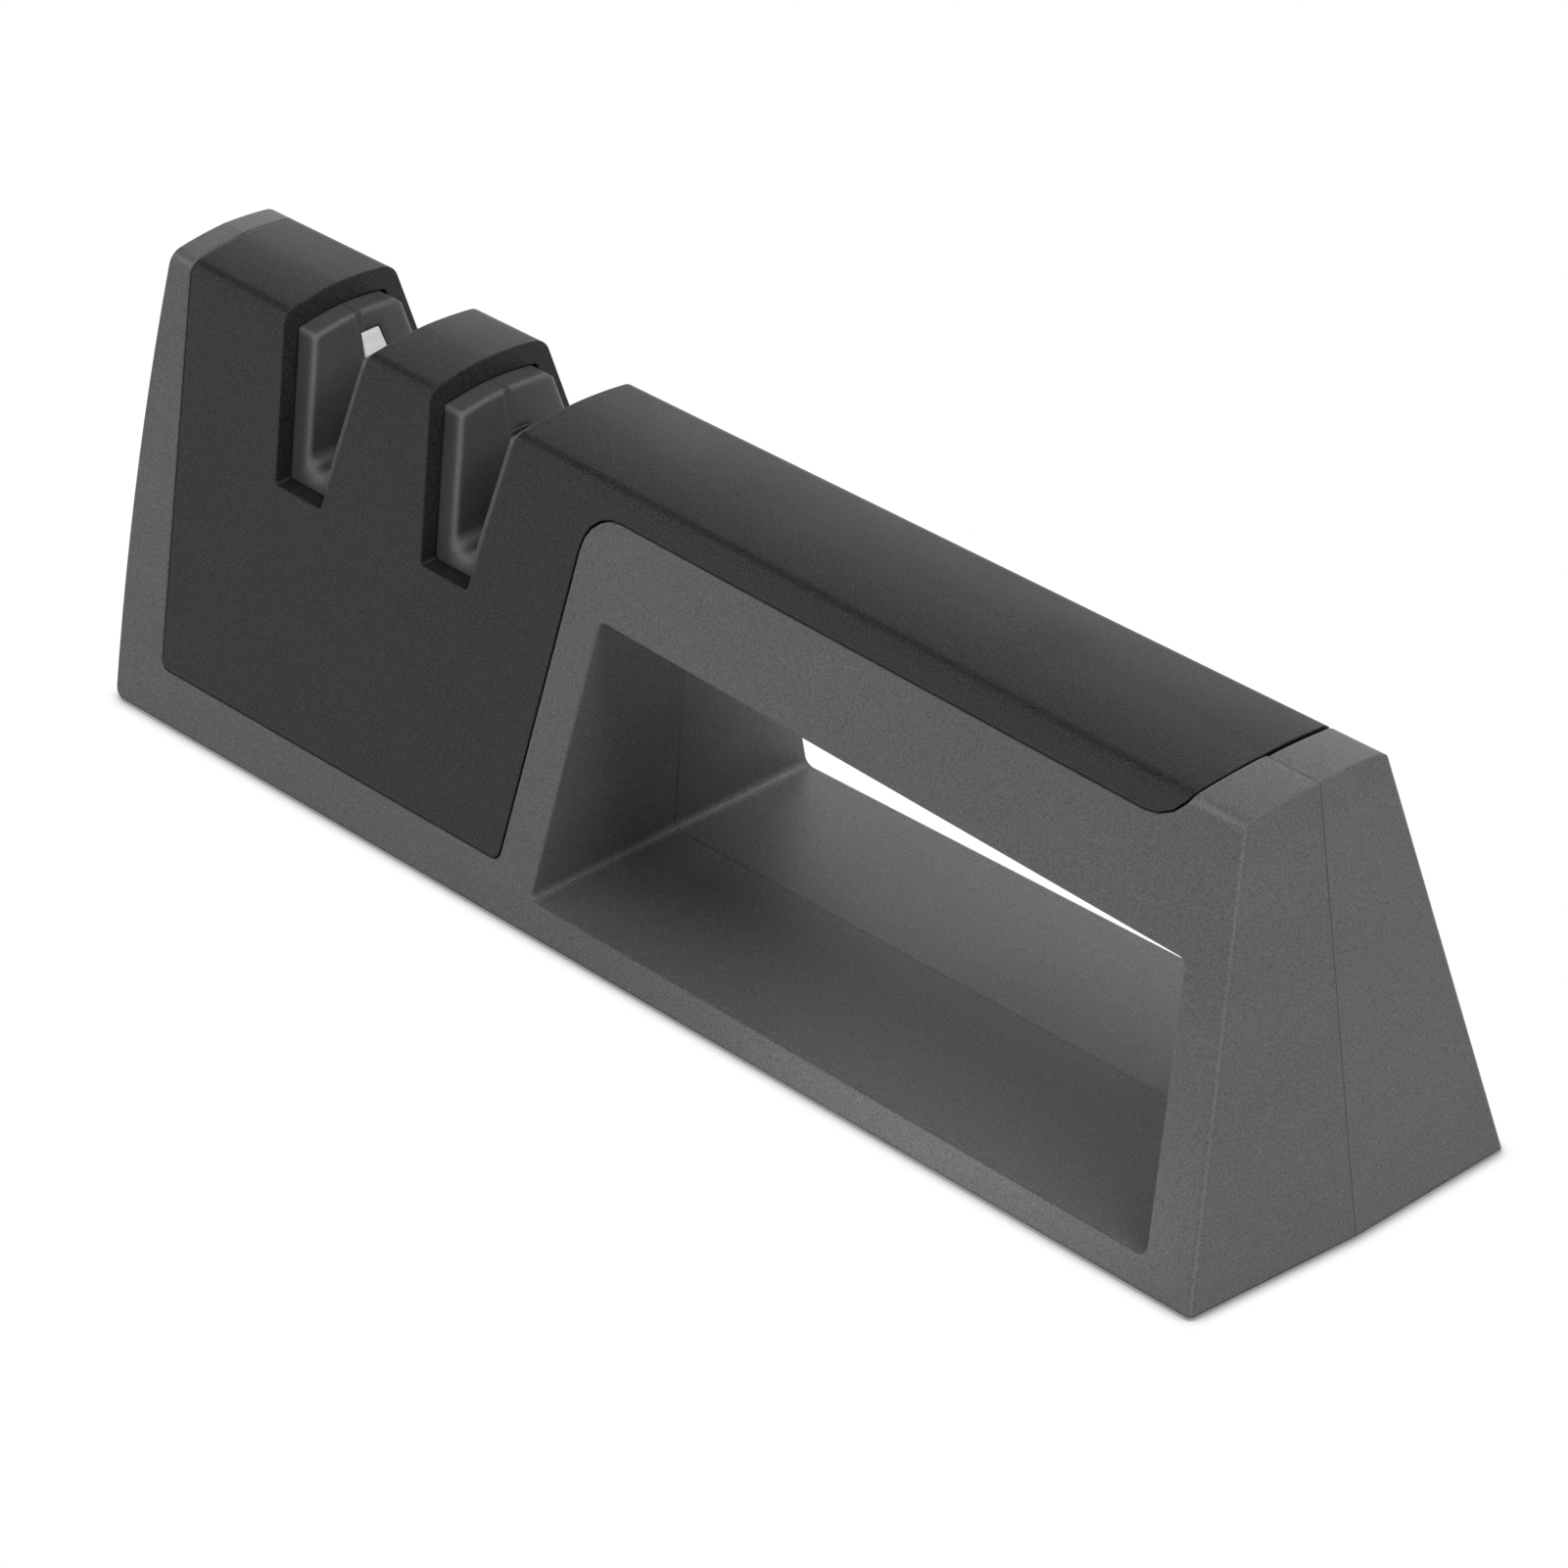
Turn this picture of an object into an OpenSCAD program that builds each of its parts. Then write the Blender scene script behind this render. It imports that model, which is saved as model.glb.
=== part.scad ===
// Two-stage pull-through knife sharpener with a loop handle. Millimetres, +Z up.
// Lengths along the body are measured from the head end, heights from the underside of the shells.
// The origin is the middle of the footprint, on the surface that the pads rest on.

/* [Body] */
// Overall length
body_l = 206; // [190:1:230]
// Width at the underside, at mid-length
base_w = 51.4; // [48:0.2:58]
// Height of the shells at the parting plane, at mid-length
body_h = 60.5; // [58:0.5:66]
// Lean of the long side faces, in degrees
side_lean = 14.1; // [10:0.1:15]
// Plan flare of each side face towards the handle end, in degrees
plan_flare = 0.96; // [0.5:0.01:1.5]
// Radius of the crowned top across the body
crown_r = 58; // [40:1:120]
// Rise of the top towards the handle end, in degrees
top_rise = 0.27; // [0:0.01:0.5]
// Radius between the top and the side faces
shoulder_r = 2.4; // [1.5:0.1:4]
// Radius of the same edge on the surfaces under the cover
inner_shoulder_r = 0.6; // [0.3:0.1:1]
// Radius of the curved head end, seen from the side
head_end_r = 350; // [250:10:900]
// Height at which the head end reaches furthest out
head_end_z = 50; // [40:1:56]
// Radius of the head end's lower corner, seen from the side
head_base_r = 1.6; // [0.5:0.1:2.4]
// Lean of the handle end, in degrees
tail_lean = 7.4; // [4:0.1:9]
// Draft of the handle end on each side of the parting plane, in degrees
tail_draft = 2.5; // [0.5:0.1:4]
// Radius of the upright corners at the handle end
tail_corner_r = 0.8; // [0.4:0.1:2]
// Wall of the shells
wall = 2; // [1.6:0.1:2.4]
// Floor of the shells
floor_t = 2.6; // [2.4:0.1:3]

/* [Finger opening] */
// Start of the opening at its floor
opening_start = 84.2; // [83:0.1:90]
// Lean of the head side of the opening, in degrees
opening_start_lean = 4.3; // [2:0.1:7]
// Width of the upright between the opening and the handle end, at the opening's floor
upright_w = 9.9; // [8:0.1:14]
// Lean of the tail side of the opening, in degrees
opening_end_lean = 4.6; // [3:0.1:7]
// Height of the opening's floor at the side faces
opening_floor = 4.2; // [4:0.1:6]
// Thickness of the handle above the opening, at the opening's head side
handle_t = 17.3; // [16:0.1:22]
// Drop of the ceiling towards the tail
opening_drop = 1.8; // [0:0.1:4]
// How much the opening narrows on every side at the parting plane
opening_draft = 1.0; // [0.5:0.1:1.5]
// Corner radius of the opening
opening_r = 1.2; // [0.8:0.1:4]

/* [Cover] */
// Wall of the cover on the sides
cover_side_t = 2.6; // [2:0.1:3]
// Wall of the cover on top
cover_top_t = 2.9; // [2:0.1:3.4]
// Gap under the cover
cover_clear = 0.15; // [0.1:0.05:0.3]
// Visible gap round the cover's edge
cover_gap = 0.35; // [0.2:0.05:0.6]
// Height of the cover's lower edge on the head
cover_foot_z = 7; // [5:0.5:12]
// Start of the cover at its lower edge
cover_foot_start = 11.4; // [9:0.1:14]
// Lean of the cover's head edge, in degrees
cover_head_lean = 7.7; // [5:0.1:8]
// End of the head panel at its lower edge
cover_foot_end = 77.3; // [74:0.1:79]
// Lean of the head panel's inner edge, in degrees
cover_inner_lean = 5.6; // [2:0.1:6]
// Height of the cover's strip along the handle
strip_h = 4.7; // [4:0.1:5.4]
// Length of grey left between the cover and the handle end, at the underside
tail_l = 16.6; // [15:0.1:24]
// Radius where the head panel meets the handle strip
cover_inner_r = 6.5; // [3:0.5:8]
// How much wider the gap past the cover's end is on the rear half
rear_end_step = 0.3; // [0:0.05:0.5]
// Radius of the strip's lower end corner
cover_end_r = 8; // [4:0.5:9]
// Radius of the head panel's lower corners
cover_corner_r = 1.2; // [0.5:0.1:4]
// Length of a snap hook inside the cover
hook_l = 7; // [5:0.5:10]
// Height of a snap hook
hook_h = 2.4; // [1.5:0.1:3]
// How far a snap hook reaches into the shell
hook_in = 1.1; // [0.6:0.1:1.4]
// Height of the head hooks
hook_z = 14; // [11:0.5:18]

/* [Knife slots] */
// Place of the ceramic slot
slot_1 = 30.75; // [29:0.05:33]
// Distance between the two slots
slot_pitch = 28.4; // [27:0.1:29]
// Depth of the guide's floor below the top of the body
slot_depth = 20.5; // [17:0.1:22]
// Radius of the guide's floor
guide_r = 2; // [1.5:0.1:2.4]
// Lean of the slot walls, in degrees
slot_lean = 9.4; // [6:0.1:11]
// Width of grey rim that shows beside the guide's wall
rim_w = 3.2; // [2.4:0.1:3.6]
// Height of the rim that shows under the guide's floor
rim_h = 2.5; // [2:0.1:3]
// Radius of the lead-in round each guide's mouth, at its floor
lead_r = 2; // [1:0.1:2.2]
// Radius of the lead-in along the upright sides of the mouth
lead_top_r = 0.6; // [0.3:0.1:1.5]
// Radius of the rear guides' upper edge
guide_rear_r = 2; // [1:0.1:2.5]
// Width of a guide insert
guide_w = 22; // [21:0.1:23]
// Height of a guide insert below its floor
guide_base_h = 15; // [13:0.5:16]
// Side clearance of a guide insert in its bay
guide_clear = 0.15; // [0.1:0.05:0.3]

/* [Sharpening plates] */
// Lean of the ceramic faces, in degrees
ceramic_lean = 16; // [13:0.5:18]
// Depth of the ceramic faces' upper edge below the top of the body
ceramic_depth = 6.4; // [5.5:0.1:10]
// Length of a ceramic plate
ceramic_l = 20; // [16:0.5:22]
// Depth of a ceramic plate behind its face
ceramic_d = 5; // [3:0.1:6]
// Thickness of a ceramic plate at its top
ceramic_t = 3; // [2:0.1:3.5]
// Taper of a ceramic plate's outer side, in degrees
ceramic_taper = 14; // [0:1:16]
// Lean of the carbide faces, in degrees
carbide_lean = 18; // [14:0.5:20]
// Depth of the carbide faces' upper edge below the top of the body
carbide_depth = 9; // [6.5:0.1:11]
// Length of a carbide plate
carbide_l = 16; // [13:0.5:18]
// Depth of a carbide plate behind its face
carbide_d = 5; // [4:0.1:6]
// Thickness of a carbide plate
carbide_t = 2.6; // [1.5:0.1:3]
// Fit of a plate in its pocket
plate_fit = 0.1; // [0.05:0.05:0.2]
// Gap round the ceramic plates' upper end, behind their faces
ceramic_gap = 0.3; // [0.2:0.05:0.5]
// Diameter of a carbide locating pin
pin_d = 2.4; // [1.5:0.1:2.6]
// Length of a carbide locating pin
pin_l = 7; // [5:0.5:9]

/* [Fasteners] */
// Diameter of a screw's shank
screw_d = 2.6; // [2:0.1:3]
// Length of a screw under its head
screw_l = 14; // [12:0.5:16]
// Diameter of a screw's head
screw_head_d = 5; // [4.4:0.1:5.4]
// Height of a screw's head
screw_head_h = 1.8; // [1.2:0.1:2.2]
// Distance of a screw head's seat from the parting plane
screw_seat = 7; // [6:0.5:8]
// Clearance round a screw
screw_clear = 0.1; // [0.05:0.05:0.2]
// Diameter of a screw boss
boss_d = 7; // [6:0.1:8]
// Diameter of a locating peg
peg_d = 3; // [2:0.1:4]
// Length of a locating peg
peg_l = 3; // [2:0.1:4]

/* [Base pads] */
// Thickness of a pad
pad_t = 1.4; // [1:0.1:1.8]
// How far a pad stands out below the shells
pad_proud = 0.4; // [0.2:0.1:0.8]
// Clearance round a pad in its recess
pad_clear = 0.1; // [0.05:0.05:0.3]
// Width of the pads across the body
pad_w = 30; // [20:1:34]
// Length of the head pad
pad_head_l = 58; // [40:1:62]
// Length of the middle pad and of the tail pad
pad_l = 26; // [16:1:34]
// Corner radius of a pad
pad_r = 5; // [2:0.5:8]

/* [Hidden] */
$fn = 64;

// Arc segments in a rounded corner, and in the lead-in of a guide's mouth
corner_steps = 5;
lead_steps = 6;
// Longer than the body, for cuts that run right through
far = 300;
// How far a cut starts outside the face that it goes into
over = 1;
// How far a lead-in ends outside the face that it blends into
skin = 0.02;

grey = [0.34, 0.35, 0.36];
black = [0.16, 0.16, 0.17];
white = [0.90, 0.90, 0.88];
carbide_grey = [0.25, 0.26, 0.28];
steel = [0.70, 0.71, 0.73];
rubber = [0.12, 0.12, 0.12];

slope = tan(side_lean);
side_in = cover_side_t + cover_clear;
top_in = cover_top_t + cover_clear;
slot_2 = slot_1 + slot_pitch;
opening_end = body_l - upright_w;
opening_l = opening_end - opening_start;
opening_top = body_h - handle_t;
cover_handle_z = body_h - strip_h;
cover_end = body_l - tail_l;
guide_floor = body_h - slot_depth;
guide_seat = guide_floor - guide_base_h;
ceramic_top = body_h - ceramic_depth;
carbide_top = body_h - carbide_depth;
screw_x = [
    cover_foot_start + 1.6 * boss_d / 2,
    (slot_1 + slot_2) / 2,
    cover_foot_end - boss_d / 2 - wall
];
low_z = cover_foot_z + boss_d;
high_z = (guide_seat + body_h) / 2;
head_screw_points = [
    [screw_x[0], low_z],
    [screw_x[1], low_z],
    [screw_x[2], low_z],
    [slot_1 - (guide_w + wall + boss_d) / 2, high_z],
    [slot_2 + (guide_w + wall + boss_d) / 2, high_z]
];
handle_z = opening_top + (wall + boss_d) / 2;
handle_screw_points = [for (f = [0.1, 0.5, 0.9]) [opening_start + f * opening_l, handle_z]];
tail_screw_z = opening_floor + boss_d / 2;
// A little nearer to the opening than to the rounded handle end
tail_screw_point = [
    opening_end + 0.42 * (body_l - tan(tail_lean) * tail_screw_z - opening_end),
    tail_screw_z
];
peg_points = [
    [(screw_x[0] + screw_x[1]) / 2, low_z],
    [(screw_x[1] + screw_x[2]) / 2, low_z],
    [opening_start + 0.3 * opening_l, handle_z],
    [opening_start + 0.7 * opening_l, handle_z]
];
guide_screw_z = guide_seat + boss_d / 2;
guide_screw_dx = guide_w / 2 - boss_d / 2 - wall / 2;
hook_head_x = [cover_foot_start + hook_l + boss_d, cover_foot_end - hook_l - boss_d];
hook_handle_x = [opening_start + 0.25 * opening_l, opening_start + 0.75 * opening_l];
hook_handle_z = cover_handle_z + hook_h / 2 + wall / 4;

// Plane geometry
function unit(v) = v / norm(v);
function corner(a, b, c, r) =
    let (
        u = unit(a - b),
        v = unit(c - b),
        half_angle = acos(u * v) / 2,
        centre = b + unit(u + v) * r / sin(half_angle),
        from = b + u * r / tan(half_angle) - centre,
        to = b + v * r / tan(half_angle) - centre,
        sweep = 180 - 2 * half_angle
    )
    [for (i = [0 : corner_steps])
        let (f = i / corner_steps)
        centre + (from * sin((1 - f) * sweep) + to * sin(f * sweep)) / sin(sweep)];
function rounded(points, radii) =
    let (n = len(points))
    [for (i = [0 : n - 1])
        for (p = radii[i] == 0 ? [points[i]]
                : corner(points[(i + n - 1) % n], points[i], points[(i + 1) % n], radii[i]))
            p];
function rectangle(x0, z0, x1, z1) = [[x0, z0], [x1, z0], [x1, z1], [x0, z1]];

// Half section of the body, y outwards and z up, with its side and its top drawn in and its shoulder rounded
function half_section(side, top, shoulder) =
    let (
        hw = base_w / 2 - side,
        q = sqrt(1 + slope * slope),
        rc = crown_r - top,
        zc = body_h - crown_r,
        a = hw - shoulder * q,
        r = rc - shoulder,
        b = a * slope + zc,
        z = (b + sqrt(b * b - q * q * (a * a + zc * zc - r * r))) / (q * q),
        y = a - slope * z,
        crown_end = atan2(z - zc, y)
    )
    concat(
        [[-5, -5], [-5, zc + rc * cos(asin(5 / rc))]],
        [for (i = [0 : 6]) let (t = 90 + (crown_end - 90) * i / 6) [rc * cos(t), zc + rc * sin(t)]],
        [for (i = [1 : 7])
            let (t = crown_end + (side_lean - crown_end) * i / 7)
            [y + shoulder * cos(t), z + shoulder * sin(t)]],
        [[hw + 5 * slope, -5]]
    );
// Distance of the side face from the parting plane
function face_y(x, z, inset) =
    let (from_middle = x - body_l / 2)
    (base_w / 2 - inset - slope * (z - tan(top_rise) * from_middle)) / cos(plan_flare)
        + tan(plan_flare) * from_middle;
// Place of the curved head end at a height
function head_x(z) = head_end_r - sqrt(head_end_r * head_end_r - pow(z - head_end_z, 2));
// Sides of the finger opening at a height, at the side faces
function opening_left(z) = opening_start + tan(opening_start_lean) * (z - opening_floor);
function opening_right(z) = opening_end - tan(opening_end_lean) * (z - opening_floor);

// Outline of the finger opening, drawn in by d
function opening_outline(d) =
    rounded([
        [opening_left(opening_floor) + d, opening_floor + d],
        [opening_right(opening_floor) - d, opening_floor + d],
        [opening_right(opening_top - opening_drop) - d, opening_top - opening_drop - d],
        [opening_left(opening_top) + d, opening_top - d]
    ], [for (i = [0 : 3]) opening_r]);

// Outline of the cover seen from the side, grown by g and by a further step at its end
function cover_outline(g, step = 0) =
    let (
        head_slope = tan(cover_head_lean),
        inner_slope = tan(cover_inner_lean),
        top = body_h + cover_end_r,
        rise = top - cover_foot_z + g,
        strip = cover_handle_z - cover_foot_z
    )
    rounded([
        [cover_foot_start - g, cover_foot_z - g],
        [cover_foot_end + g, cover_foot_z - g],
        [cover_foot_end + inner_slope * strip + g, cover_handle_z - g],
        [cover_end + g + step, cover_handle_z - g],
        [cover_end + g + step, top],
        [cover_foot_start - g - head_slope * rise, top]
    ], [cover_corner_r + g, cover_corner_r + g, cover_inner_r - g, cover_end_r + g, 0, 0]);

// Half width of a guide's channel at a height
function channel(z) = guide_r / cos(slot_lean) + tan(slot_lean) * (z - guide_floor - guide_r);
// Outline of a guide's channel at a turn t of its lead-in, round at the floor and open above the body,
// as [x, z, lead-in radius]
function channel_outline(x, t) =
    let (
        top = body_h + 2 * over,
        low = guide_floor + 2 * guide_r,
        steps = 3 * corner_steps,
        reach = function (z) channel(z) + lead_top_r * (1 - cos(t)) / cos(slot_lean)
    )
    concat(
        [[x + reach(top), top, lead_top_r], [x - reach(top), top, lead_top_r],
         [x - reach(low), low, lead_top_r]],
        [for (i = [0 : steps])
            let (
                a = 180 + slot_lean + (180 - 2 * slot_lean) * i / steps,
                lead = lead_top_r + (lead_r - lead_top_r) * sin(180 * i / steps),
                r = guide_r + lead * (1 - cos(t))
            )
            [x + r * cos(a), guide_floor + guide_r + r * sin(a), lead]],
        [[x + reach(low), low, lead_top_r]]
    );
// Outline of a slot in the cover
function slot_outline(x) =
    let (
        low = guide_floor - rim_h,
        top = body_h + 2 * over,
        b = channel(low) + rim_w,
        t = channel(top) + rim_w
    )
    rounded([[x - b, low], [x + b, low], [x + t, top], [x - t, top]], [0.6, 0.6, 0, 0]);

// Rings of the channel, from the parting plane out through the rounded mouth
function channel_rings(x) =
    concat(
        [[for (p = channel_outline(x, 0)) [p[0], -over, p[1]]]],
        [for (i = [0 : lead_steps])
            let (t = 90 * i / lead_steps)
            [for (p = channel_outline(x, t))
                [p[0], face_y(p[0], p[1], side_in - skin + p[2] * (1 - sin(t))), p[1]]]],
        [[for (p = channel_outline(x, 90)) [p[0], face_y(p[0], p[1], -over), p[1]]]]
    );

// Places a child that is drawn from the head end and from the underside
module placed() {
    translate([-body_l / 2, 0, pad_proud]) children();
}

// Extrudes a side view through the body, from y0 to y1
module through(points, y0 = -far / 2, y1 = far / 2) {
    translate([0, y1, 0]) rotate([90, 0, 0]) linear_extrude(y1 - y0) polygon(points);
}

// A child drawn for the rear half, on either side of the parting plane
module on_side(side) {
    mirror([0, side < 0 ? 1 : 0, 0]) children();
}

// Turns a cylinder so that it runs rearwards from the parting plane at a point of the side view
module at_point(p, y = 0) {
    translate([p[0], y, p[1]]) rotate([-90, 0, 0]) children();
}

// Half of the body's envelope, drawn in from its side and its top, and reaching a little past the parting plane
module half_body(side, top, past = 0, shoulder = inner_shoulder_r) {
    intersection() {
        translate([body_l / 2, 0, 0]) rotate([0, -top_rise, plan_flare]) rotate([90, 0, 90])
            translate([0, 0, -far / 2]) linear_extrude(far) polygon(half_section(side, top, shoulder));
        translate([-far / 2, -past, -over]) cube([2 * far, far, body_h + 3 * over]);
    }
}

// The two ends of the body
module end_envelope() {
    steps = 12;
    points = concat(
        [for (i = [0 : steps]) let (z = (body_h + 2 * over) * i / steps) [head_x(z), z]],
        [[body_l + over, body_h + 2 * over], [body_l + over, 0]]
    );
    through(rounded(points, [for (i = [0 : len(points) - 1]) i == 0 ? head_base_r : 0]));
}

module tail_envelope() {
    translate([body_l, 0, 0]) rotate([0, -tail_lean, tail_draft])
        translate([-far, -far / 2, -far / 2]) cube(far);
}

// Rounds the upright corner where the side face meets the handle end: a prism along that slanting edge
module tail_corner() {
    side_normal = unit([-sin(plan_flare) - slope * tan(top_rise), cos(plan_flare), slope]);
    end_normal = unit([cos(tail_draft) * cos(tail_lean), sin(tail_draft) * cos(tail_lean), sin(tail_lean)]);
    edge = unit(cross(end_normal, side_normal));
    along = cross(edge, end_normal);
    // Inwards along the end face and along the side face, both square to the edge
    inward_on_end = [0, -1];
    inward_on_side = unit([-side_normal * along, side_normal * end_normal]);
    x0 = body_l - tan(tail_draft) * face_y(body_l, 0, 0);
    y0 = face_y(x0, 0, 0);
    multmatrix([
        [end_normal[0], along[0], edge[0], x0],
        [end_normal[1], along[1], edge[1], y0],
        [end_normal[2], along[2], edge[2], 0],
        [0, 0, 0, 1]
    ])
        translate([0, 0, -far / 2]) linear_extrude(far)
            polygon(rounded([[0, 0], far * inward_on_side, far * (inward_on_side + inward_on_end), far * inward_on_end],
                            [tail_corner_r, 0, 0, 0]));
}

module half_outer() {
    intersection() {
        half_body(0, 0, shoulder = shoulder_r);
        end_envelope();
        tail_envelope();
        tail_corner();
    }
}

module opening_cut() {
    draft_y = base_w / 2;
    hull() {
        through(opening_outline(opening_draft), -0.01, 0.01);
        through(opening_outline(-opening_draft * 0.2), draft_y * 1.2 - 0.01, draft_y * 1.2 + 0.01);
    }
}

// What the cover takes out of a shell
module cover_recess(step) {
    difference() {
        through(cover_outline(cover_gap, step), -over, far);
        half_body(side_in, top_in, 2 * over);
    }
}

module guide_bay(x) {
    half = guide_w / 2 + guide_clear;
    through(rectangle(x - half, guide_seat, x + half, body_h + 2 * over), -over, far);
}

module hook(x, z, reach, slack) {
    intersection() {
        through(rectangle(x - hook_l / 2 - slack, z - hook_h / 2 - slack,
                          x + hook_l / 2 + slack, z + hook_h / 2 + slack), 0, far);
        difference() {
            half_body(0, 0);
            half_body(side_in + reach, 0);
        }
    }
}

module hooks(reach, slack) {
    for (x = hook_head_x) hook(x, hook_z, reach, slack);
    for (x = hook_handle_x) hook(x, hook_handle_z, reach, slack);
}

// Hollows inside a shell, with the ribs and screw bosses left standing
module hollows() {
    seat = guide_seat - wall;
    bay_end = slot_2 + guide_w / 2 + wall;
    tail_x = body_l - tan(tail_lean) * body_h - 2 * wall;
    ceiling = opening_top + wall;
    difference() {
        union() {
            intersection() {
                half_body(side_in + wall, top_in + wall, over);
                union() {
                    through([
                        [head_x(floor_t) + wall, floor_t],
                        [opening_left(floor_t) - wall, floor_t],
                        [opening_left(seat) - wall, seat],
                        [head_x(seat) + wall, seat]
                    ], -over, far);
                    through([
                        [head_x(seat) + wall, seat - over],
                        [slot_1 - guide_w / 2 - wall, seat - over],
                        [slot_1 - guide_w / 2 - wall, body_h],
                        [head_x(body_h) + 2 * wall, body_h]
                    ], -over, far);
                    through([
                        [bay_end, seat - over],
                        [opening_left(seat) - wall, seat - over],
                        [opening_left(ceiling) - wall, ceiling],
                        [tail_x, ceiling],
                        [tail_x, body_h],
                        [bay_end, body_h]
                    ], -over, far);
                }
            }
            intersection() {
                half_body(wall, wall, over);
                through(rectangle(opening_start + 2 * wall, ceiling,
                                  tail_x, cover_handle_z - wall), -over, far);
            }
        }
        for (p = concat(head_screw_points, handle_screw_points, peg_points))
            at_point(p, -2 * over) cylinder(d = boss_d, h = far);
        for (x = [slot_1, slot_2]) rib(x, 0, seat);
        for (f = [0.2, 0.4, 0.6, 0.8]) rib(opening_start + f * opening_l, ceiling - over, body_h);
        for (x = hook_head_x) hook_backing(x, hook_z);
        for (x = hook_handle_x) hook_backing(x, hook_handle_z);
    }
}

module rib(x, z0, z1) {
    through(rectangle(x - wall / 2, z0, x + wall / 2, z1), -far, far);
}

// Thickens the wall behind a hook's pocket
module hook_backing(x, z) {
    difference() {
        through(rectangle(x - hook_l / 2 - wall, z - hook_h / 2 - wall,
                          x + hook_l / 2 + wall, z + hook_h / 2 + wall), -far, far);
        half_body(side_in + hook_in + wall, 0);
    }
}

module half_shell(end_step) {
    difference() {
        half_outer();
        opening_cut();
        cover_recess(end_step);
        guide_bay(slot_1);
        guide_bay(slot_2);
        hollows();
        hooks(hook_in + cover_clear, cover_clear);
        pad_recesses();
    }
}

module pad_outline(x, l, grow) {
    w = pad_w / 2 + grow;
    polygon(rounded(rectangle(x - l / 2 - grow, -w, x + l / 2 + grow, w), [for (i = [0 : 3]) pad_r + grow]));
}

pad_head_x = (head_x(0) + opening_start) / 2;
pad_middle_x = opening_start + opening_l / 2;
pad_tail_x = opening_end - pad_l / 2;

module pad_recesses() {
    for (p = [[pad_head_x, pad_head_l], [pad_middle_x, pad_l], [pad_tail_x, pad_l]])
        translate([0, 0, -over]) linear_extrude(over + pad_t - pad_proud) pad_outline(p[0], p[1], pad_clear);
}

module pad(x, l) {
    color(rubber) placed() translate([0, 0, -pad_proud]) linear_extrude(pad_t) pad_outline(x, l, 0);
}

// Blind pilot holes in front of the parting plane
module pilots(points) {
    for (p = points) at_point(p, screw_seat - screw_l - over)
        cylinder(d = screw_d + screw_clear, h = screw_l + over);
}

// Clearance holes behind the parting plane, with their counterbores
module clearances(points) {
    for (p = points) {
        at_point(p, -over) cylinder(d = screw_d + 2 * screw_clear, h = far);
        at_point(p, screw_seat) cylinder(d = screw_head_d + 4 * screw_clear, h = far);
    }
}

shell_screw_points = concat(head_screw_points, handle_screw_points, [tail_screw_point]);

module front_shell() {
    color(grey) placed() {
        difference() {
            on_side(-1) half_shell(0);
            pilots(shell_screw_points);
        }
        for (p = peg_points) at_point(p, -over) cylinder(d = peg_d, h = peg_l + over);
    }
}

module rear_shell() {
    color(grey) placed() difference() {
        half_shell(rear_end_step);
        clearances(shell_screw_points);
        for (p = peg_points) at_point(p, -over)
            cylinder(d = peg_d + 2 * screw_clear, h = over + peg_l + screw_clear);
    }
}

module half_cover() {
    difference() {
        intersection() {
            half_outer();
            through(cover_outline(0), -over, far);
        }
        half_body(cover_side_t, cover_top_t, over);
        for (x = [slot_1, slot_2]) through(slot_outline(x), -over, far);
    }
    intersection() {
        hooks(hook_in, 0);
        half_body(cover_side_t / 2, 0);
    }
}

module top_cover() {
    color(black) placed() {
        half_cover();
        on_side(-1) half_cover();
    }
}

// One plate with its working face leaning across the slot, drawn for the rear half. Its pocket is the
// same shape grown all round, with a gap at the upper end and on the outer side
module plate(x, top, lean, l, d, t, taper, grow, gap) {
    intersection() {
        translate([x - channel(top), 0, top]) rotate([0, -lean, 0])
            translate([-d - grow, 0, -l - grow]) cube([d + 2 * grow, far, l + grow + gap]);
        rotate([90, 0, 90]) linear_extrude(far)
            polygon([
                [grow > 0 ? -over : plate_fit / 2, 0],
                [t + gap + tan(taper) * top, 0],
                [t + gap, top],
                [t + gap, far],
                [grow > 0 ? -over : plate_fit / 2, far]
            ]);
    }
}

// The front plate is the rear one turned half round in its slot
module in_half(x, side) {
    translate([x, 0, 0]) rotate([0, 0, side > 0 ? 0 : 180]) translate([-x, 0, 0]) children();
}

module ceramic(grow, gap) {
    plate(slot_1, ceramic_top, ceramic_lean, ceramic_l, ceramic_d, ceramic_t, ceramic_taper, grow, gap);
}

module carbide(grow) {
    plate(slot_2, carbide_top, carbide_lean, carbide_l, carbide_d, carbide_t, 0, grow, grow);
}

// Centre of the pin hole in the rear carbide plate
carbide_pin_point = [
    slot_2 - channel(carbide_top) - cos(carbide_lean) * carbide_d / 2 + sin(carbide_lean) * carbide_l * 0.7,
    carbide_top - sin(carbide_lean) * carbide_d / 2 - cos(carbide_lean) * carbide_l * 0.7
];

module pin_bore(grow) {
    at_point(carbide_pin_point, plate_fit / 2) cylinder(d = pin_d + grow, h = pin_l + grow);
}

module guide_block(x, shoulder) {
    intersection() {
        half_body(side_in, top_in, 0, shoulder);
        through(rectangle(x - guide_w / 2, guide_seat, x + guide_w / 2, body_h), -over, far);
    }
}

// The channel with its rounded mouth, as one solid
module channel_cut(x) {
    rings = channel_rings(x);
    n = len(rings[0]);
    last = len(rings) - 1;
    polyhedron(
        points = [for (ring = rings) for (p = ring) p],
        faces = concat(
            [[for (i = [n - 1 : -1 : 0]) i]],
            [for (j = [0 : last - 1]) for (i = [0 : n - 1])
                let (k = (i + 1) % n)
                for (f = [[j * n + i, j * n + k, (j + 1) * n + k],
                          [j * n + i, (j + 1) * n + k, (j + 1) * n + i]]) f],
            [[for (i = [0 : n - 1]) last * n + i]]
        )
    );
}

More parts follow.
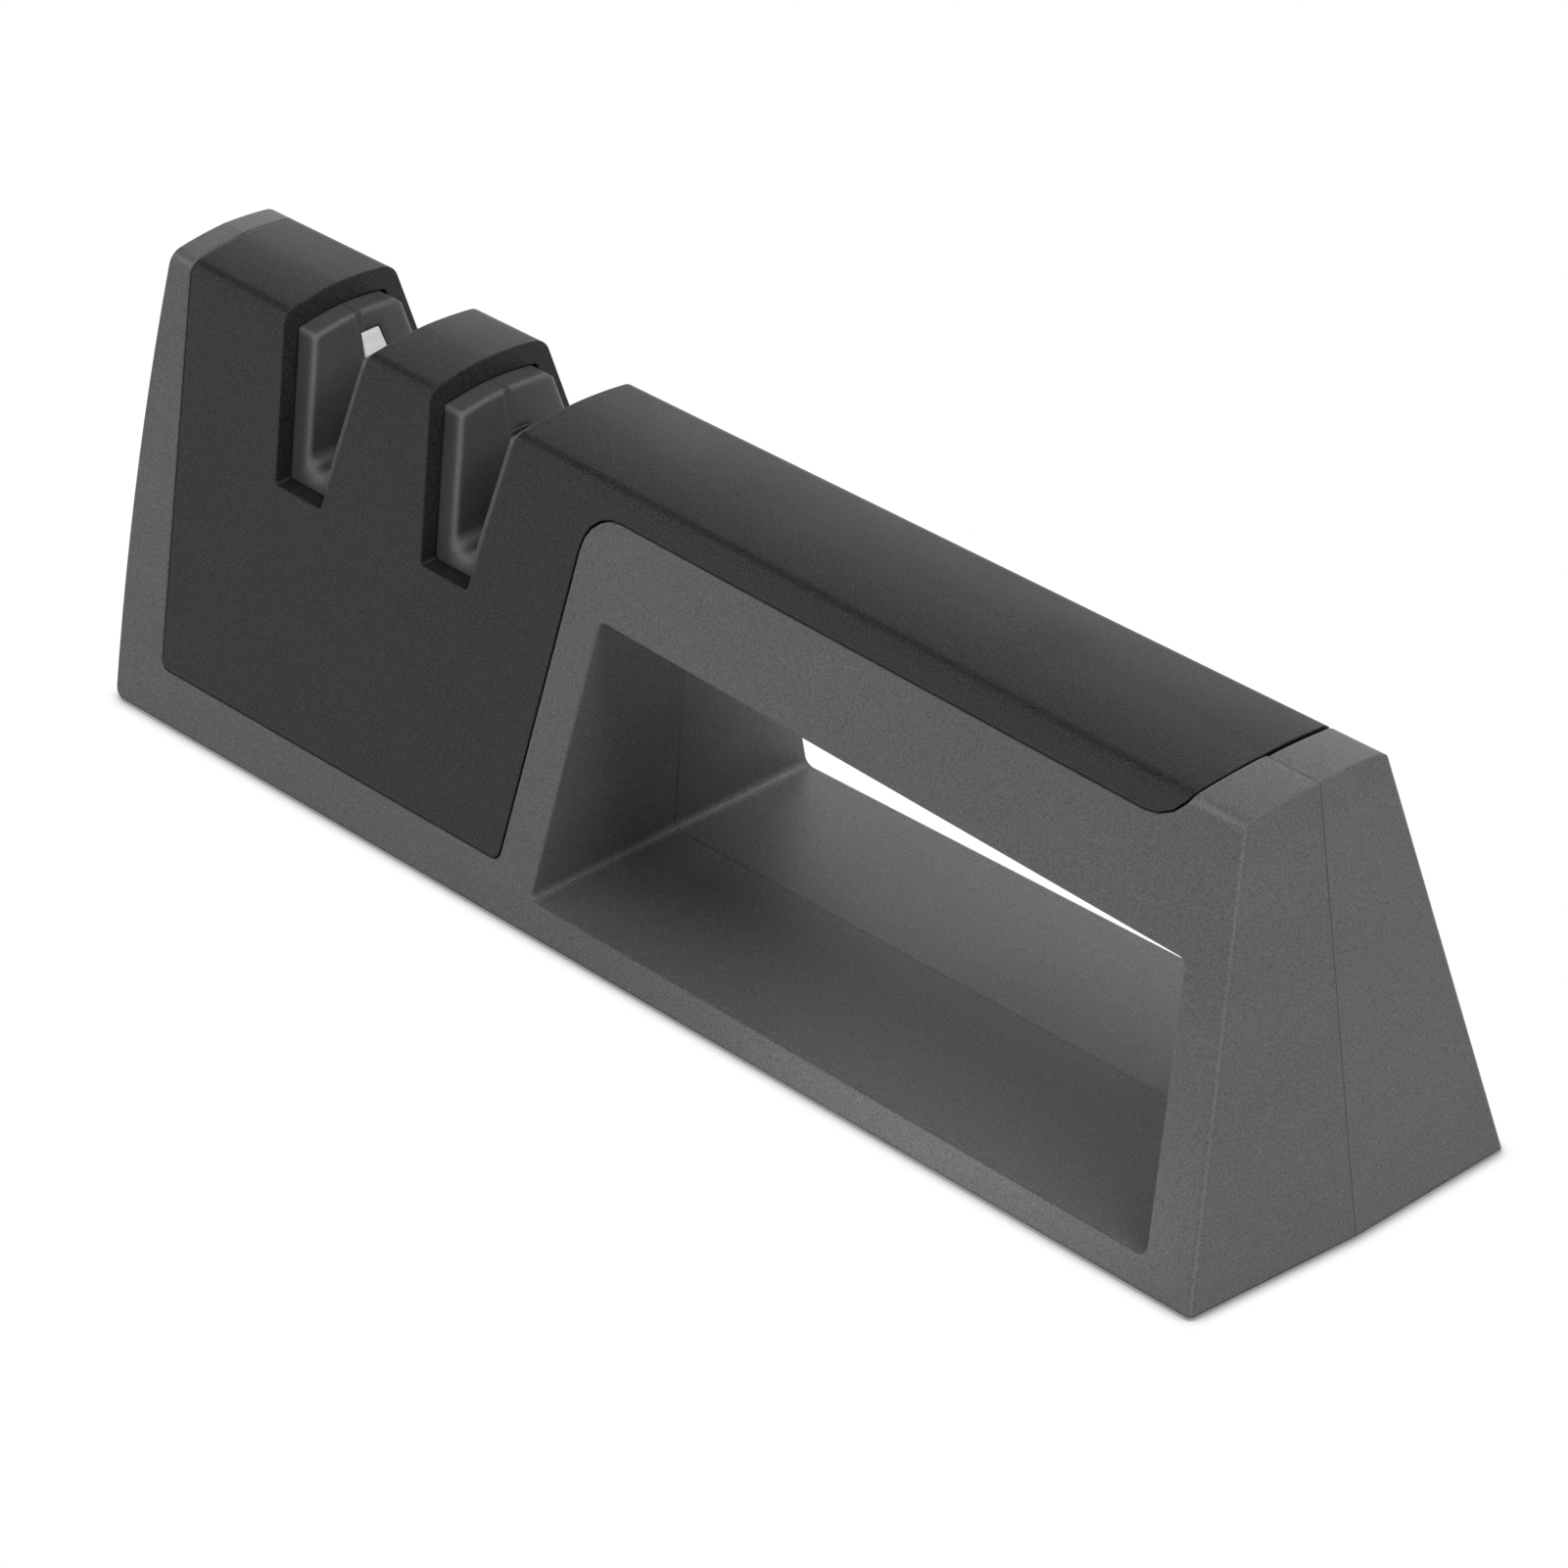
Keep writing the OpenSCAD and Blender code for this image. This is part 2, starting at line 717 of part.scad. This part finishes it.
function guide_screw_points(x) = [for (d = [-1, 1]) [x + d * guide_screw_dx, guide_screw_z]];

module guide(x, side) {
    difference() {
        on_side(side) guide_block(x, side < 0 ? inner_shoulder_r : guide_rear_r);
        on_side(side) channel_cut(x);
        in_half(x, side) children();
        if (side < 0) pilots(guide_screw_points(x));
        if (side > 0) clearances(guide_screw_points(x));
    }
}

module screw() {
    steel_tip = screw_d / 2;
    difference() {
        union() {
            cylinder(d = screw_head_d, h = screw_head_h);
            translate([0, 0, -screw_l + steel_tip]) cylinder(d = screw_d, h = screw_l);
            translate([0, 0, -screw_l]) cylinder(d1 = screw_d / 3, d2 = screw_d, h = steel_tip, $fn = 32);
        }
        for (a = [0, 90]) rotate([0, 0, a])
            translate([-screw_head_d * 0.3, -screw_head_d * 0.06, screw_head_h / 3])
                cube([screw_head_d * 0.6, screw_head_d * 0.12, screw_head_h]);
    }
}

module screws(points) {
    color(steel) placed() for (p = points) at_point(p, screw_seat) screw();
}

module ceramic_guide(side) {
    color(grey) placed() guide(slot_1, side) ceramic(plate_fit, ceramic_gap);
}

module carbide_guide(side) {
    color(grey) placed() guide(slot_2, side) {
        union() {
            carbide(plate_fit);
            pin_bore(plate_fit);
        }
    }
}

module ceramic_plate(side) {
    color(white) placed() in_half(slot_1, side) ceramic(0, 0);
}

module carbide_plate(side) {
    color(carbide_grey) placed() in_half(slot_2, side) difference() {
        carbide(0);
        pin_bore(plate_fit);
    }
}

module carbide_pins() {
    color(steel) placed() for (side = [-1, 1]) in_half(slot_2, side) pin_bore(0);
}

front_shell();
rear_shell();
top_cover();
ceramic_guide(-1);  // ceramic_guide_front
ceramic_guide(1);  // ceramic_guide_rear
carbide_guide(-1);  // carbide_guide_front
carbide_guide(1);  // carbide_guide_rear
ceramic_plate(-1);  // ceramic_plate_front
ceramic_plate(1);  // ceramic_plate_rear
carbide_plate(-1);  // carbide_plate_front
carbide_plate(1);  // carbide_plate_rear
carbide_pins();
screws(guide_screw_points(slot_1));  // ceramic_guide_screws
screws(guide_screw_points(slot_2));  // carbide_guide_screws
screws(head_screw_points);  // head_screws
screws(handle_screw_points);  // handle_screws
screws([tail_screw_point]);  // tail_screw
pad(pad_head_x, pad_head_l);  // base_pad_head
pad(pad_middle_x, pad_l);  // base_pad_middle
pad(pad_tail_x, pad_l);  // base_pad_tail
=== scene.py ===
"""Two-stage pull-through knife sharpener on a pale floor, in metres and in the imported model's frame."""
from math import cos, radians, sin

import bmesh
import bpy
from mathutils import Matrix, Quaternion, Vector


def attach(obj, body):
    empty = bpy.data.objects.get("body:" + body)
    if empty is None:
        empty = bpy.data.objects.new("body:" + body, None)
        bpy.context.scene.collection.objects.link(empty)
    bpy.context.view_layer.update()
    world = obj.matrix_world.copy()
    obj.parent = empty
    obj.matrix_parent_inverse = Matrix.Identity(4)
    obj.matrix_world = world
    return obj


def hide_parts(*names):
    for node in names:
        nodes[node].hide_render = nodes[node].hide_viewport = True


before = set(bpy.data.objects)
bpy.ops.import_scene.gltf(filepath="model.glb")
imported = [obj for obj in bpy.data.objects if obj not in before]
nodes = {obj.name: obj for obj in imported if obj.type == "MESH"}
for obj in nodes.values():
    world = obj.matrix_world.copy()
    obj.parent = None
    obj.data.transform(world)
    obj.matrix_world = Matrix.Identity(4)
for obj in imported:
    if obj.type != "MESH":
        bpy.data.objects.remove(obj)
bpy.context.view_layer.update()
MM = 0.001

# The photograph's camera sees the front and the handle end from above. Azimuths run from +X,
# the handle end
PHOTO_PX = 1601
FOCAL_PX = 11686.0
AZIMUTH = -43.67
ELEVATION = 31.04
ROLL = -0.105
DISTANCE = 1442.8 * MM
TARGET = Vector((2.64, -0.17, 21.14)) * MM
SENSOR_WIDTH = 36.0
FAR_CLIP = 20.0

# Points nearer than WELD become one, and so do faces that turn by less than FLAT
WELD = 0.0005 * MM
FLAT = radians(0.4)
# An edge that turns by more than this is sharp in the mesh, and the materials round it off
SHARP = radians(24)
# How much large faces count in the smooth normals
NORMAL_WEIGHT = 60

# Radii of the rounded edges
SHELL_EDGE = 0.65 * MM
COVER_EDGE = 0.4 * MM
GUIDE_EDGE = 1.4 * MM
SCREW_EDGE = 0.1 * MM
PLATE_EDGE = 0.12 * MM
PAD_EDGE = 0.25 * MM
EDGE_SAMPLES = 6
# Radius along the parting plane, up to this far from it
SEAM_EDGE = 0.14 * MM
SEAM_REACH = 0.6 * MM
# Share of the tone left in the parting line, painted shade for the groove between the halves, and the
# distances in millimetres over which it fades
SEAM_SHADE = 0.5
SEAM_SHADE_FADE = (0.05, 0.14)
# The painted highlight on edges is full where a rounded normal's largest part is this small
HIGHLIGHT_FULL = 0.72
HIGHLIGHT_SPREAD = 0.84
# The plastics are duller than the shader's usual 0.5
PLASTIC_SPECULAR = 0.33

# Noise scales per metre, the spans of noise that are used, and the heights of the bumps
FLOW_SCALE = 45
FLOW_STRETCH = (1, 1, 2.5)
FLOW_TONE = 0.06
FLOW_ROUGHNESS = 0.04
FLECK_SCALE = 4200
GRAIN_SCALE = 2600
GRAIN_HEIGHT = 0.02 * MM
LINE_SCALE = 900
LINE_TONE = 0.88
LINE_HEIGHT = 0.01 * MM
SOFT_SPAN = (0.3, 0.7)
FLECK_SPAN = (0.38, 0.62)

# The floor's half width, its look under the lamps, and its shadow where the object touches it
FLOOR_REACH = 3.0
FLOOR_TONE = 0.65
FLOOR_ROUGHNESS = 0.9
FLOOR_GLOW = 1.0
CONTACT_REACH = 2.2 * MM
CONTACT_TONE = (0.3, 0.3, 0.31)
CONTACT_SPAN = (0.5, 0.92)
CONTACT_SAMPLES = 8

# Soft lamps round the object: name, azimuth and elevation in degrees, watts
LAMP_DISTANCE = 1.3
LAMP_SIZE = 0.9
LAMPS = [
    ("tail", 14, 56, 13.8),
    ("rear", 90, 58, 1.9),
    ("rear_left", 136, 15, 4.3),
    ("front_left", 212, 22, 3.5),
    ("front", 274, 22, 5.6),
]
SKY_STRENGTH = 0.14
# A low card in front of the opening, which lightens the bar under it: its middle, size and watts
CARD_PLACE = Vector((52.0, -47.0, 3.0)) * MM
CARD_FACING = Vector((0, -1, 0))
CARD_LENGTH = 64.0 * MM
CARD_HEIGHT = 4.0 * MM
CARD_WATTS = 0.0037


def towards(azimuth, elevation):
    """Unit vector at an azimuth and an elevation in degrees."""
    flat = cos(radians(elevation))
    return Vector((
        cos(radians(azimuth)) * flat,
        sin(radians(azimuth)) * flat,
        sin(radians(elevation)),
    ))


def add(name, data):
    """A new object in the scene."""
    thing = bpy.data.objects.new(name, data)
    bpy.context.scene.collection.objects.link(thing)
    return thing


def make_camera():
    """A camera at the photograph's place."""
    back = towards(AZIMUTH, ELEVATION)
    data = bpy.data.cameras.new("camera")
    data.sensor_width = SENSOR_WIDTH
    data.lens = FOCAL_PX * SENSOR_WIDTH / PHOTO_PX
    data.clip_end = FAR_CLIP
    camera = add("camera", data)
    camera.location = TARGET + DISTANCE * back
    turn = back.to_track_quat("Z", "Y") @ Quaternion((0, 0, 1), radians(ROLL))
    camera.rotation_euler = turn.to_euler()
    bpy.context.scene.camera = camera


def dress(node, material):
    """Puts a smooth-shaded copy with sharp edges kept in the place of a CAD node."""
    name = node + "_dressed"
    mesh = bpy.data.meshes.new(name)
    bm = bmesh.new()
    bm.from_mesh(nodes[node].data)
    bmesh.ops.remove_doubles(bm, verts=bm.verts, dist=WELD)
    bmesh.ops.dissolve_limit(bm, angle_limit=FLAT, verts=bm.verts, edges=bm.edges)
    for face in bm.faces:
        face.smooth = True
        face.material_index = 0
    for edge in bm.edges:
        edge.smooth = edge.calc_face_angle(0) < SHARP
    bm.to_mesh(mesh)
    bm.free()
    mesh.materials.append(material)
    piece = add(name, mesh)
    normals = piece.modifiers.new("flat_faces", "WEIGHTED_NORMAL")
    normals.keep_sharp = True
    normals.weight = NORMAL_WEIGHT
    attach(piece, "root")
    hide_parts(node)


def principled(name, colour, roughness, metallic=0.0):
    """A new material, its node tree and its shader."""
    material = bpy.data.materials.new(name)
    material.use_nodes = True
    shader = material.node_tree.nodes["Principled BSDF"]
    shader.inputs["Base Color"].default_value = (*colour, 1)
    shader.inputs["Roughness"].default_value = roughness
    shader.inputs["Metallic"].default_value = metallic
    return material, material.node_tree, shader


def noise(tree, scale, detail=2, stretch=(1, 1, 1)):
    """A noise texture in the object's own coordinates."""
    coords = tree.nodes.new("ShaderNodeTexCoord")
    mapping = tree.nodes.new("ShaderNodeMapping")
    mapping.inputs["Scale"].default_value = stretch
    texture = tree.nodes.new("ShaderNodeTexNoise")
    texture.inputs["Scale"].default_value = scale
    texture.inputs["Detail"].default_value = detail
    tree.links.new(coords.outputs["Object"], mapping.inputs["Vector"])
    tree.links.new(mapping.outputs["Vector"], texture.inputs["Vector"])
    return texture.outputs["Fac"]


def ramp(tree, factor, span, start, end):
    """A colour that goes from start to end as factor goes through span."""
    node = tree.nodes.new("ShaderNodeValToRGB")
    for element, position, colour in zip(node.color_ramp.elements, span, (start, end)):
        element.position = position
        element.color = (*colour, 1)
    tree.links.new(factor, node.inputs["Fac"])
    return node.outputs["Color"]


def multiply(tree, one, other):
    """The product of two colours."""
    mix = tree.nodes.new("ShaderNodeMix")
    mix.data_type = "RGBA"
    mix.blend_type = "MULTIPLY"
    mix.inputs["Factor"].default_value = 1.0
    tree.links.new(one, mix.inputs["A"])
    tree.links.new(other, mix.inputs["B"])
    return mix.outputs["Result"]


def calc(tree, operation, *values):
    """The result of a sum on numbers or on other nodes' values."""
    node = tree.nodes.new("ShaderNodeMath")
    node.operation = operation
    for i, value in enumerate(values):
        if isinstance(value, (int, float)):
            node.inputs[i].default_value = value
        else:
            tree.links.new(value, node.inputs[i])
    return node.outputs["Value"]


def split(tree, vector):
    """The three parts of a vector."""
    node = tree.nodes.new("ShaderNodeSeparateXYZ")
    tree.links.new(vector, node.inputs["Vector"])
    return node.outputs


def from_seam(tree):
    """Distance from the parting plane in millimetres."""
    coords = tree.nodes.new("ShaderNodeTexCoord")
    width = split(tree, coords.outputs["Object"])["Y"]
    return calc(tree, "MULTIPLY", calc(tree, "ABSOLUTE", width), 1 / MM)


def round_edges(tree, radius, on_seam=False):
    """Normals rounded off at the sharp edges, less along the parting plane, and their largest part:
    1 on a face across the width, length or height, and 0.7 halfway round an edge."""
    edges = tree.nodes.new("ShaderNodeBevel")
    edges.samples = EDGE_SAMPLES
    edges.inputs["Radius"].default_value = radius
    if on_seam:
        far = calc(tree, "GREATER_THAN", from_seam(tree), SEAM_REACH / MM)
        reach = calc(tree, "MULTIPLY_ADD", far, radius - SEAM_EDGE, SEAM_EDGE)
        tree.links.new(reach, edges.inputs["Radius"])
    sizes = tree.nodes.new("ShaderNodeVectorMath")
    sizes.operation = "ABSOLUTE"
    tree.links.new(edges.outputs["Normal"], sizes.inputs[0])
    parts = split(tree, sizes.outputs["Vector"])
    level = calc(tree, "MAXIMUM", parts["X"], parts["Y"])
    return edges.outputs["Normal"], calc(tree, "MAXIMUM", level, parts["Z"])


def bump(tree, shader, height, strength, distance, normal):
    """Raises the surface by a texture."""
    node = tree.nodes.new("ShaderNodeBump")
    node.inputs["Strength"].default_value = strength
    node.inputs["Distance"].default_value = distance
    tree.links.new(height, node.inputs["Height"])
    tree.links.new(normal, node.inputs["Normal"])
    tree.links.new(node.outputs["Normal"], shader.inputs["Normal"])


def shade(colour, factor):
    """A colour made lighter or darker."""
    return tuple(c * factor for c in colour)


def grey(value):
    """A neutral colour."""
    return (value, value, value)


def plastic(name, colour, edge, roughness=0.5, grain=0.35, flecks=0.25, edge_highlight=1.0,
            highlight_spread=HIGHLIGHT_SPREAD, on_seam=False):
    """Moulded plastic with a fine even grain, flecks of its tone and faint flow marks. Its edges carry a
    painted highlight, wider the nearer highlight_spread is to 1, and its parting line is darkened with
    painted shade."""
    material, tree, shader = principled(name, colour, roughness)
    shader.inputs["Specular IOR Level"].default_value = PLASTIC_SPECULAR
    normal, flat = round_edges(tree, edge, on_seam)
    flow = noise(tree, FLOW_SCALE, 3, FLOW_STRETCH)
    tone = ramp(tree, flow, SOFT_SPAN, shade(colour, 1 - FLOW_TONE), shade(colour, 1 + FLOW_TONE))
    fleck = ramp(tree, noise(tree, FLECK_SCALE), FLECK_SPAN, grey(1 - flecks), grey(1 + flecks))
    tone = multiply(tree, tone, fleck)
    # Painted highlight: the tone is lightened where the rounded normal turns off the axes, at convex and
    # concave edges alike.
    tone = multiply(tree, tone, ramp(tree, flat, (HIGHLIGHT_FULL, highlight_spread), grey(edge_highlight), grey(1)))
    # Painted shade: the tone is darkened along the parting plane, where the groove between the halves
    # would be shaded.
    if on_seam:
        line = ramp(tree, from_seam(tree), SEAM_SHADE_FADE, grey(SEAM_SHADE), grey(1))
        tone = multiply(tree, tone, line)
    tree.links.new(tone, shader.inputs["Base Color"])
    smooth, rough = grey(roughness - FLOW_ROUGHNESS), grey(roughness + FLOW_ROUGHNESS)
    tree.links.new(ramp(tree, flow, SOFT_SPAN, smooth, rough), shader.inputs["Roughness"])
    bump(tree, shader, noise(tree, GRAIN_SCALE), grain, GRAIN_HEIGHT, normal)
    return material


def ground(name, colour, edge, roughness, metallic, stretch, scratch=0.3, edge_highlight=1.0):
    """Ground ceramic or metal with fine lines from its grinding, and a painted highlight on its edges."""
    material, tree, shader = principled(name, colour, roughness, metallic)
    normal, flat = round_edges(tree, edge)
    lines = noise(tree, LINE_SCALE, 2, stretch)
    tone = ramp(tree, lines, SOFT_SPAN, shade(colour, LINE_TONE), colour)
    # Painted highlight: the tone is lightened at the edges by the factor edge_highlight.
    highlight_tone = ramp(tree, flat, (HIGHLIGHT_FULL, HIGHLIGHT_SPREAD), grey(edge_highlight), grey(1))
    tree.links.new(multiply(tree, tone, highlight_tone), shader.inputs["Base Color"])
    bump(tree, shader, lines, scratch, LINE_HEIGHT, normal)
    return material


def floor_material():
    """Pale for the lamps' light, and white with a faint contact shadow where the camera sees it."""
    material, tree, shader = principled("floor", grey(FLOOR_TONE), FLOOR_ROUGHNESS)
    near = tree.nodes.new("ShaderNodeAmbientOcclusion")
    near.inputs["Distance"].default_value = CONTACT_REACH
    near.samples = CONTACT_SAMPLES
    glow = tree.nodes.new("ShaderNodeEmission")
    glow.inputs["Strength"].default_value = FLOOR_GLOW
    shadow = ramp(tree, near.outputs["AO"], CONTACT_SPAN, CONTACT_TONE, grey(1))
    tree.links.new(shadow, glow.inputs["Color"])
    path = tree.nodes.new("ShaderNodeLightPath")
    mix = tree.nodes.new("ShaderNodeMixShader")
    seen = calc(tree, "MAXIMUM", path.outputs["Is Camera Ray"], path.outputs["Is Glossy Ray"])
    seen = calc(tree, "MAXIMUM", seen, path.outputs["Is Transmission Ray"])
    tree.links.new(seen, mix.inputs["Fac"])
    tree.links.new(shader.outputs["BSDF"], mix.inputs[1])
    tree.links.new(glow.outputs["Emission"], mix.inputs[2])
    tree.links.new(mix.outputs["Shader"], tree.nodes["Material Output"].inputs["Surface"])
    return material


def make_floor():
    """A pale floor that shows as white around the object."""
    mesh = bpy.data.meshes.new("floor")
    signs = [(-1, -1), (1, -1), (1, 1), (-1, 1)]
    corners = [(x * FLOOR_REACH, y * FLOOR_REACH, 0) for x, y in signs]
    mesh.from_pydata(corners, [], [(0, 1, 2, 3)])
    mesh.materials.append(floor_material())
    add("floor", mesh)


def add_lamp(name, place, facing, width, height, watts):
    """A soft lamp at a place, turned so that facing points away from what it lights."""
    data = bpy.data.lights.new(name, "AREA")
    data.shape = "RECTANGLE"
    data.size = width
    data.size_y = height
    data.energy = watts
    lamp = add(name, data)
    lamp.location = place
    lamp.rotation_euler = facing.to_track_quat("Z", "Y").to_euler()


def make_light():
    """Soft light from above and all round, and the low card."""
    world = bpy.data.worlds.new("studio")
    bpy.context.scene.world = world
    world.use_nodes = True
    background = world.node_tree.nodes["Background"]
    background.inputs["Color"].default_value = (1, 1, 1, 1)
    background.inputs["Strength"].default_value = SKY_STRENGTH
    for name, azimuth, elevation, watts in LAMPS:
        side = towards(azimuth, elevation)
        add_lamp(name, LAMP_DISTANCE * side, side, LAMP_SIZE, LAMP_SIZE, watts)
    add_lamp("card", CARD_PLACE, CARD_FACING, CARD_LENGTH, CARD_HEIGHT, CARD_WATTS)


GREY_TONE = (0.1, 0.102, 0.107)
BLACK_TONE = (0.0145, 0.0145, 0.0155)
# edge_highlight sets how much each material's edges are lightened as a painted highlight.
GREY = plastic("grey_plastic", GREY_TONE, SHELL_EDGE, edge_highlight=1.45, highlight_spread=0.88, on_seam=True)
# The guides' tone is the shell grey darkened to 0.6 as painted shade inside the slots.
GUIDE = plastic("guide_plastic", shade(GREY_TONE, 0.6), GUIDE_EDGE, roughness=0.36, grain=0.15,
                flecks=0.12, edge_highlight=2.4, highlight_spread=0.97, on_seam=True)
BLACK = plastic("black_plastic", BLACK_TONE, COVER_EDGE, grain=1.0, flecks=0.7, edge_highlight=1.25)
RUBBER = plastic("pad_rubber", grey(0.012), PAD_EDGE, roughness=0.75)
CERAMIC = ground("white_ceramic", (0.8, 0.8, 0.79), PLATE_EDGE, 0.5, 0.0, (0.2, 0.2, 1))
CARBIDE = ground("carbide", (0.12, 0.12, 0.13), PLATE_EDGE, 0.32, 1.0, (0.2, 0.2, 1), edge_highlight=4.0)
STEEL = ground("steel", (0.55, 0.55, 0.57), SCREW_EDGE, 0.3, 1.0, (1, 0.2, 1), scratch=0.15)
MATERIALS = {
    "front_shell": GREY,
    "rear_shell": GREY,
    "top_cover": BLACK,
    "ceramic_guide_front": GUIDE,
    "ceramic_guide_rear": GUIDE,
    "carbide_guide_front": GUIDE,
    "carbide_guide_rear": GUIDE,
    "ceramic_plate_front": CERAMIC,
    "ceramic_plate_rear": CERAMIC,
    "carbide_plate_front": CARBIDE,
    "carbide_plate_rear": CARBIDE,
    "carbide_pins": STEEL,
    "head_screws": STEEL,
    "handle_screws": STEEL,
    "tail_screw": STEEL,
    "ceramic_guide_screws": STEEL,
    "carbide_guide_screws": STEEL,
    "base_pad_head": RUBBER,
    "base_pad_middle": RUBBER,
    "base_pad_tail": RUBBER,
}

make_camera()
for node, material in MATERIALS.items():
    dress(node, material)
make_floor()
make_light()
bpy.context.scene.view_settings.view_transform = "Standard"
